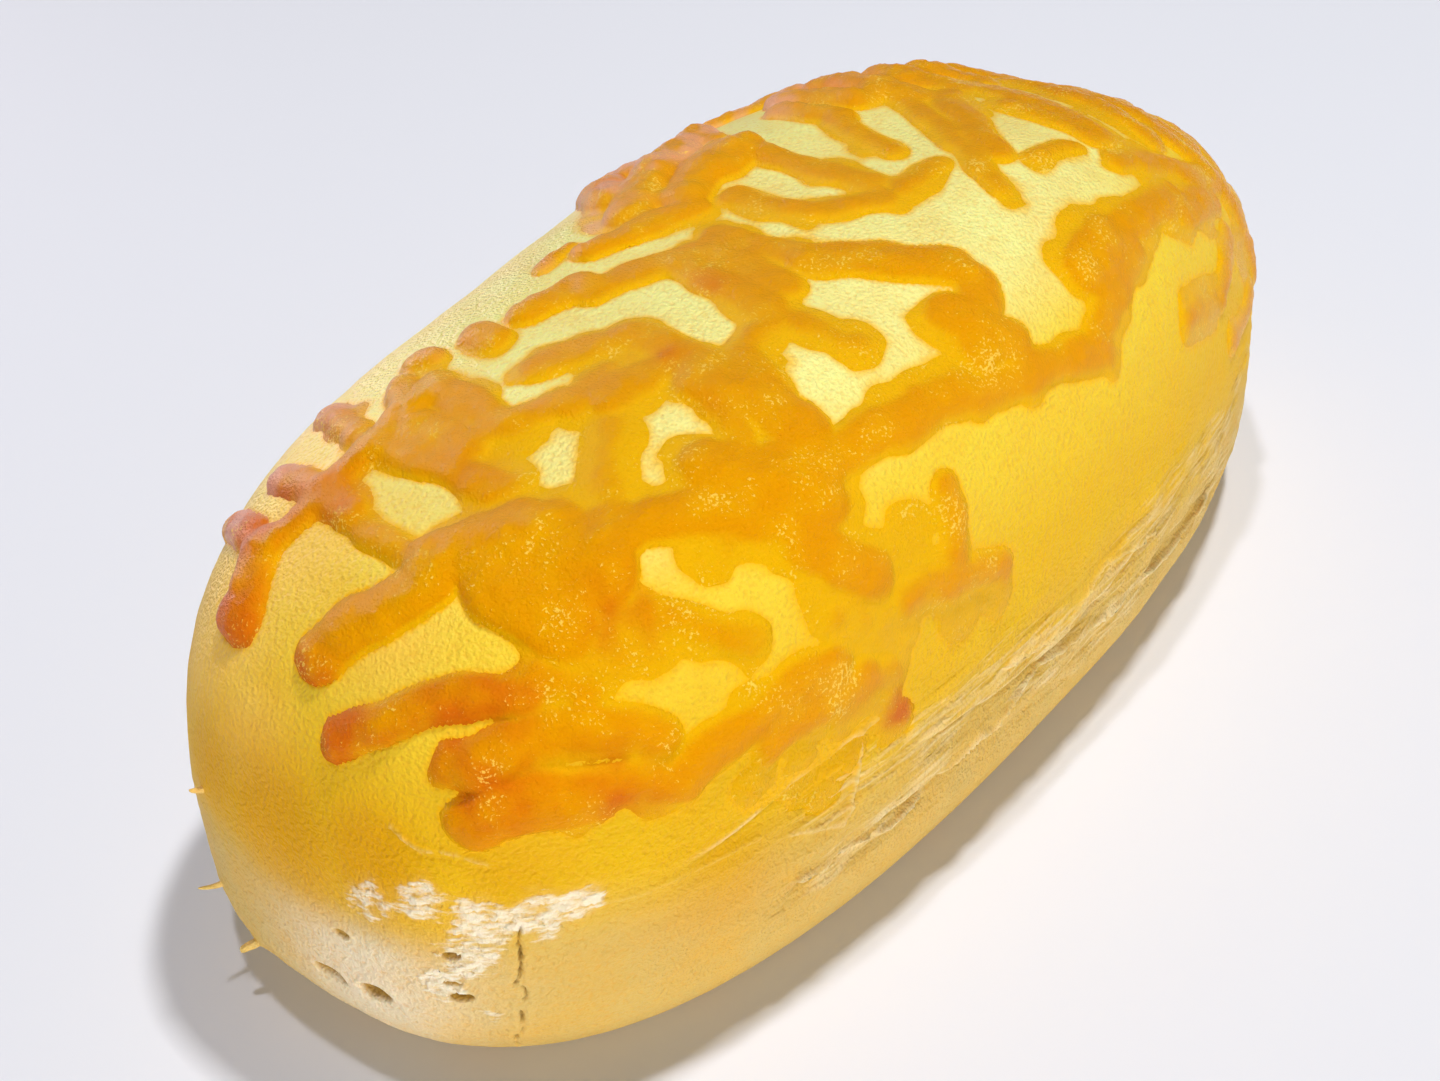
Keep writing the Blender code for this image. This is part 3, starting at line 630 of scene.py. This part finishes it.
# Each coat lies over those before it: the field it follows, where that starts and is full, how dense
# the coat is there, and its colour
COATS = (
    ("wash", 0.0, 1.0, 1.0, "#E6B616"),
    ("crown", 0.52, 0.84, 1.0, "#E9CB3A"),
    # the palest coat at the very top is pale wash and partly a painted highlight on the crown
    ("crown", 0.8, 0.95, 1.0, "#EAE68E"),
    # thin wash, peach, and partly painted light that brightens the near left
    ("thin_wash_and_painted_light", 0.0, 1.0, 0.75, "#F8C860"),
    ("pooled", 0.0, 1.0, 0.75, "#D89600"),
    ("floury", 0.0, 1.0, 1.0, "#F0E2C6"),
    ("oiled", 0.04, 0.3, 1.0, "#EEB40C"),
    # painted highlight along crease lips and fold ridges, and the scraps' own pale dough
    ("pale_dough_and_highlight", 0.0, 1.0, 0.9, "#F6E7BE"),
)
skin_colour = colour("#D4B262")
for name, start, full, dense, code in COATS:
    value = add_node(tree, "ShaderNodeAttribute", attribute_name=name).outputs["Fac"]
    limits = {"Value": value, "From Min": start, "From Max": full, "To Max": dense}
    part = add_node(tree, "ShaderNodeMapRange", limits, interpolation_type="SMOOTHSTEP").outputs["Result"]
    layers = {0: part, 6: skin_colour, 7: colour(code)}
    skin_colour = add_node(tree, "ShaderNodeMix", layers, data_type="RGBA").outputs[2]

# Marks lie over the coats in the same way: mottling, painted shade in the grain's hollows, pale ridges
# of the fine wrinkles where the side drew in as painted highlights, short dry flakes where the skin
# lifted, and painted shade in holes and lines that deepens with depth
pattern = {"Vector": in_mm, "Scale": 1 / 6, "Detail": 4}
mottle = add_node(tree, "ShaderNodeTexNoise", pattern).outputs["Fac"]
pattern = {"Vector": in_mm, "Scale": 2.2, "Detail": 1.5, "Roughness": 0.6}
fine = add_node(tree, "ShaderNodeTexNoise", pattern).outputs["Fac"]
drawn = add_node(tree, "ShaderNodeVectorMath", {0: round_side, 1: (0.22, 0.22, 1.9)}, operation="MULTIPLY")
pattern = {"Vector": drawn.outputs[0], "Scale": 1.0, "Detail": 4}
wrinkles = add_node(tree, "ShaderNodeTexNoise", pattern).outputs["Fac"]
drawn_part = add_node(tree, "ShaderNodeAttribute", attribute_name="drawn").outputs["Fac"]
shrunk = add_node(tree, "ShaderNodeMath", {0: wrinkles, 1: drawn_part}, operation="MULTIPLY").outputs[0]
level = add_node(tree, "ShaderNodeVectorMath", {0: round_side, 1: (0.4, 0.4, 2.4)}, operation="MULTIPLY")
pattern = {"Vector": level.outputs[0], "Scale": 1.0, "Detail": 4}
scales = add_node(tree, "ShaderNodeTexNoise", pattern).outputs["Fac"]
lifted_part = add_node(tree, "ShaderNodeAttribute", attribute_name="lifted").outputs["Fac"]
reaching = add_node(tree, "ShaderNodeMath", {0: lifted_part, 1: 0.5, 2: scales}, operation="MULTIPLY_ADD")
limits = {"Value": reaching.outputs[0], "From Min": 0.76, "From Max": 1.02, "To Max": 0.75}
flaked = add_node(tree, "ShaderNodeMapRange", limits).outputs["Result"]
pore_shade = add_node(tree, "ShaderNodeAttribute", attribute_name="pore_shade").outputs["Fac"]
crease_shade = add_node(tree, "ShaderNodeAttribute", attribute_name="crease_shade").outputs["Fac"]
MARKS = (
    (mottle, 0.4, 0.75, 0.3, "#E8A820"),
    # painted shade in the grain's hollows
    (fine, 0.5, 0.3, 0.3, "#DFA02A"),
    # painted highlight on the ridges of the fine wrinkles
    (shrunk, 0.42, 0.64, 0.45, "#F6E0AC"),
    (flaked, 0.0, 1.0, 1.0, "#F8F0DA"),
    # painted shade inside the pores, darker with depth
    (pore_shade, 0.03, 0.3, 0.85, "#B08420"),
    (pore_shade, 0.4, 0.9, 0.9, "#6A4A10"),
    # painted shade in the crease lines and the crack
    (crease_shade, 0.0, 1.0, 0.85, "#64450E"),
)
for value, start, full, dense, code in MARKS:
    limits = {"Value": value, "From Min": start, "From Max": full, "To Max": dense}
    part = add_node(tree, "ShaderNodeMapRange", limits).outputs["Result"]
    layers = {0: part, 6: skin_colour, 7: colour(code)}
    skin_colour = add_node(tree, "ShaderNodeMix", layers, data_type="RGBA").outputs[2]
tree.links.new(skin_colour, shader.inputs["Base Color"])

height = add_node(tree, "ShaderNodeAttribute", attribute_name="crown").outputs["Fac"]
limits = {"Value": height, "From Min": 0.5, "From Max": 1.0, "To Min": 0.6, "To Max": 0.3}
gloss = add_node(tree, "ShaderNodeMapRange", limits).outputs["Result"]
tree.links.new(gloss, shader.inputs["Roughness"])
shader.inputs["IOR"].default_value = 1.45
shader.inputs["Specular IOR Level"].default_value = 0.35
shader.inputs["Specular Tint"].default_value = colour("#FFE480")
shader.inputs["Subsurface Weight"].default_value = 0.2
shader.inputs["Subsurface Radius"].default_value = (1.0, 0.6, 0.25)
shader.inputs["Subsurface Scale"].default_value = 1.5 * MM

relief = {"Height": fine, "Distance": 0.32 * MM, "Strength": 1.0}
grained = add_node(tree, "ShaderNodeBump", relief).outputs["Normal"]
relief = {"Height": shrunk, "Distance": 0.45 * MM, "Strength": 1.0, "Normal": grained}
creped = add_node(tree, "ShaderNodeBump", relief).outputs["Normal"]
relief = {"Height": flaked, "Distance": 0.1 * MM, "Strength": 1.0, "Normal": creped}
scaly = add_node(tree, "ShaderNodeBump", relief).outputs["Normal"]
tree.links.new(scaly, shader.inputs["Normal"])
crust.data.materials.append(baked)
for name, value in (("wash", 0.35), ("lifted", 0.3), ("pale_dough_and_highlight", 0.3)):
    keep_field(scraps, name, np.full(len(scraps.data.vertices), value))
scraps.data.materials.append(baked)

# Melted cheddar: set fat and protein, deep amber, a little translucent and satin with oil. It is
# paler where it is thin, with a painted pinkish sheen along the far rim, and pale gold specks about
# 0.3 mm across, in patches of 5 mm, are painted glints of light on grains of fat.
melted, tree, shader = finish_named("melted_cheddar")
place = add_node(tree, "ShaderNodeTexCoord").outputs["Object"]
in_mm = add_node(tree, "ShaderNodeVectorMath", {0: place, "Scale": 1000}, operation="SCALE").outputs[0]
pattern = {"Vector": in_mm, "Scale": 1 / 5, "Detail": 4}
patches = add_node(tree, "ShaderNodeTexNoise", pattern).outputs["Fac"]
pattern = {"Vector": in_mm, "Scale": 3.0, "Detail": 3, "Roughness": 0.6}
grains = add_node(tree, "ShaderNodeTexNoise", pattern).outputs["Fac"]
terms = {0: patches, 1: 0.7, 2: grains}
painted_glints = add_node(tree, "ShaderNodeMath", terms, operation="MULTIPLY_ADD").outputs[0]
thickness = add_node(tree, "ShaderNodeAttribute", attribute_name="thick").outputs["Fac"]
toasting = add_node(tree, "ShaderNodeAttribute", attribute_name="toast").outputs["Fac"]
painted_rim_sheen_part = add_node(tree, "ShaderNodeAttribute", attribute_name="painted_rim_sheen").outputs["Fac"]
LAYERS = (
    (thickness, 0.18, 0.44, 1.0, "#E29800"),
    (patches, 0.4, 0.7, 0.5, "#E8AC00"),
    (toasting, 0.0, 0.8, 0.9, "#D2640A"),
    # painted sheen: pink cream on the far rim, where light glances off the cheese
    (painted_rim_sheen_part, 0.0, 1.0, 0.6, "#EAA88C"),
    # painted glints: pale gold specks where grains of fat catch the light
    (painted_glints, 0.98, 1.1, 0.75, "#FFD65A"),
)
cheese_colour = colour("#EEB206")
for value, start, full, dense, code in LAYERS:
    limits = {"Value": value, "From Min": start, "From Max": full, "To Max": dense}
    part = add_node(tree, "ShaderNodeMapRange", limits, interpolation_type="SMOOTHSTEP").outputs["Result"]
    layers = {0: part, 6: cheese_colour, 7: colour(code)}
    cheese_colour = add_node(tree, "ShaderNodeMix", layers, data_type="RGBA").outputs[2]
tree.links.new(cheese_colour, shader.inputs["Base Color"])
shader.inputs["Roughness"].default_value = 0.26
shader.inputs["IOR"].default_value = 1.45
shader.inputs["Specular IOR Level"].default_value = 0.28
shader.inputs["Specular Tint"].default_value = colour("#FFB030")
shader.inputs["Subsurface Weight"].default_value = 0.3
shader.inputs["Subsurface Radius"].default_value = (1.0, 0.5, 0.12)
shader.inputs["Subsurface Scale"].default_value = 1.6 * MM
relief = {"Height": grains, "Distance": 0.36 * MM, "Strength": 1.0}
pebbled = add_node(tree, "ShaderNodeBump", relief).outputs["Normal"]
tree.links.new(pebbled, shader.inputs["Normal"])
cheese.data.materials.append(melted)

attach(crust, "root")
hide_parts("bun")
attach(scraps, "root")
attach(cheese, "root")
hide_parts("melted_cheese")

# Studio: a plain white table under nearly neutral light. A window's and a room's light come from high
# above, broad fills from low on both sides of the camera, and gleams on what is glossy from behind.
LAMPS_AWAY = 900 * MM
LAMPS_LOOK_AT = Vector((0, 0, 25)) * MM
bpy.ops.mesh.primitive_plane_add(size=6, location=(0, 0, 0))
table = bpy.context.object
table.name = "table"
plain, tree, shader = finish_named("matt_white_board")
shader.inputs["Base Color"].default_value = colour("#E4E6E9")
shader.inputs["Roughness"].default_value = 0.7
table.data.materials.append(plain)


def add_lamp(name, code, power, size, bearing, elevation, matt_light=True, gleam=True):
    """A square lamp that looks at the bun from a bearing and elevation in degrees.

    One without matt_light only gleams, one without gleam only fills in, and neither casts a shadow.
    """
    lamp = bpy.data.lights.new(name, "AREA")
    lamp.color = colour(code)[:3]
    lamp.energy = power
    lamp.size = size
    lamp.use_shadow = matt_light and gleam
    holder = bpy.data.objects.new(name, lamp)
    bpy.context.collection.objects.link(holder)
    bearing, elevation = math.radians(bearing), math.radians(elevation)
    level = math.cos(elevation)
    away = Vector((math.cos(bearing) * level, math.sin(bearing) * level, math.sin(elevation)))
    holder.location = LAMPS_LOOK_AT + away * LAMPS_AWAY
    holder.rotation_euler = away.to_track_quat("Z", "Y").to_euler()
    holder.visible_diffuse = matt_light
    holder.visible_glossy = gleam


add_lamp("window", "#F2F2FF", 2.3, 0.05, 128, 84)
add_lamp("room_light", "#FCFBFE", 5.25, 0.08, -8, 74)
add_lamp("front_fill", "#FFFDFC", 4.1, 0.4, -158, 6, gleam=False)
add_lamp("side_fill", "#FFFEFC", 4.1, 0.5, -90, 7, gleam=False)
add_lamp("window_gleam", "#FFF0FA", 4.8, 0.4, 78, 7, matt_light=False)
add_lamp("far_gleam", "#FFFFFF", 0.6, 0.3, 40, 38, matt_light=False)

world = bpy.data.worlds.new("pale_room")
bpy.context.scene.world = world
world.use_nodes = True
world.node_tree.nodes["Background"].inputs["Color"].default_value = colour("#EAEFFC")
world.node_tree.nodes["Background"].inputs["Strength"].default_value = 0.08
bpy.context.scene.view_settings.view_transform = "Standard"

# Camera: at the photograph's angle, over the bun's near end and its fuller side
TURN, TILT, ROLL = math.radians(-50.33), math.radians(37.97), math.radians(-2.93)
LENS = 50
REACH = 207 * MM
LOOKS_AT = Vector((-17.8, -5.34, 25)) * MM
back = Vector((math.sin(TURN) * math.cos(TILT), -math.cos(TURN) * math.cos(TILT), math.sin(TILT)))
right = (-back).cross(Vector((0, 0, 1))).normalized()
upward = right.cross(-back)
level_right = right * math.cos(ROLL) + upward * math.sin(ROLL)
level_up = -right * math.sin(ROLL) + upward * math.cos(ROLL)
camera = bpy.data.objects.new("camera", bpy.data.cameras.new("camera"))
bpy.context.collection.objects.link(camera)
camera.data.lens = LENS
camera.data.sensor_width = 36
camera.data.clip_start = 0.01
turned = Matrix((level_right, level_up, back)).transposed().to_4x4()
camera.matrix_world = Matrix.Translation(LOOKS_AT + back * REACH) @ turned
bpy.context.scene.camera = camera
